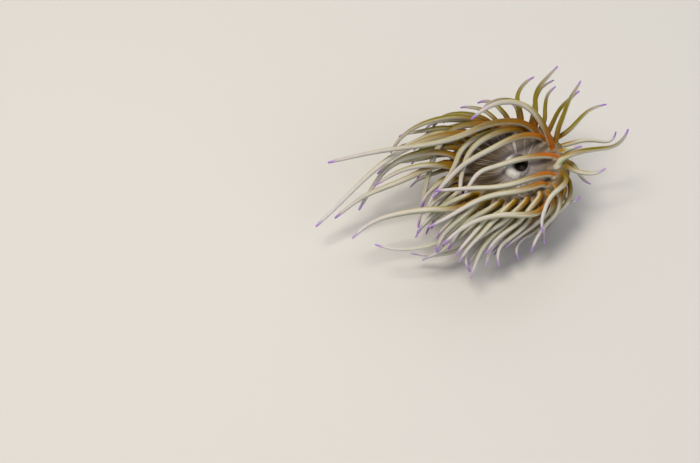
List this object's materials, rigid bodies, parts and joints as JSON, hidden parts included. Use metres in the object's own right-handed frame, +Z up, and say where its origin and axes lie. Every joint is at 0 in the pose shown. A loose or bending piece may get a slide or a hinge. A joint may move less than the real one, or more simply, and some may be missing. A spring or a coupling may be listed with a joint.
{
  "type": "sea anemone",
  "caption": "Life-size snakelocks sea anemone on its pedal disc, mouth upward, with long slender tentacles streaming to one side over a low column",
  "frame": {"origin": "centre of the pedal disc's flat underside, on the floor", "axes": "+Z is up, out of the pedal disc's top; -Y is the front; the crown streams and leans towards -X"},
  "size_m": [0.132, 0.0994, 0.0464],
  "materials": {
    "column_skin": "smooth wet skin, red-brown with fine pale lines down it",
    "disc_skin": "soft wet skin, grey-brown with fine pale lines out from the mouth",
    "lip_skin": "soft wet skin, off-white",
    "tentacle_skin": "wet translucent skin, cream and olive with orange roots and lilac tips"
  },
  "bodies": {
    "root": {"foot": "column_skin", "column": "column_skin", "oral_disc": "disc_skin", "lip": "lip_skin", "collar_01": "tentacle_skin", "collar_02": "tentacle_skin", "collar_03": "tentacle_skin", "collar_04": "tentacle_skin", "collar_05": "tentacle_skin", "collar_06": "tentacle_skin", "collar_07": "tentacle_skin", "collar_08": "tentacle_skin", "collar_09": "tentacle_skin", "collar_10": "tentacle_skin", "collar_11": "tentacle_skin", "collar_12": "tentacle_skin", "tentacle_01_root": "tentacle_skin", "tentacle_01_middle": "tentacle_skin", "tentacle_01_tip": "tentacle_skin", "tentacle_02_root": "tentacle_skin", "tentacle_02_middle": "tentacle_skin", "tentacle_02_tip": "tentacle_skin", "tentacle_03_root": "tentacle_skin", "tentacle_03_middle": "tentacle_skin", "tentacle_03_tip": "tentacle_skin", "tentacle_04_root": "tentacle_skin", "tentacle_04_middle": "tentacle_skin", "tentacle_04_tip": "tentacle_skin", "tentacle_05_root": "tentacle_skin", "tentacle_05_middle": "tentacle_skin", "tentacle_05_tip": "tentacle_skin", "tentacle_06_root": "tentacle_skin", "tentacle_06_middle": "tentacle_skin", "tentacle_06_tip": "tentacle_skin", "tentacle_07_root": "tentacle_skin", "tentacle_07_middle": "tentacle_skin", "tentacle_07_tip": "tentacle_skin", "tentacle_08_root": "tentacle_skin", "tentacle_08_middle": "tentacle_skin", "tentacle_08_tip": "tentacle_skin", "tentacle_09_root": "tentacle_skin", "tentacle_09_middle": "tentacle_skin", "tentacle_09_tip": "tentacle_skin", "tentacle_10_root": "tentacle_skin", "tentacle_10_middle": "tentacle_skin", "tentacle_10_tip": "tentacle_skin", "tentacle_11_root": "tentacle_skin", "tentacle_11_middle": "tentacle_skin", "tentacle_11_tip": "tentacle_skin", "tentacle_12_root": "tentacle_skin", "tentacle_12_middle": "tentacle_skin", "tentacle_12_tip": "tentacle_skin", "tentacle_13_root": "tentacle_skin", "tentacle_13_middle": "tentacle_skin", "tentacle_13_tip": "tentacle_skin", "tentacle_14_root": "tentacle_skin", "tentacle_14_middle": "tentacle_skin", "tentacle_14_tip": "tentacle_skin"}
  },
  "joints": []
}
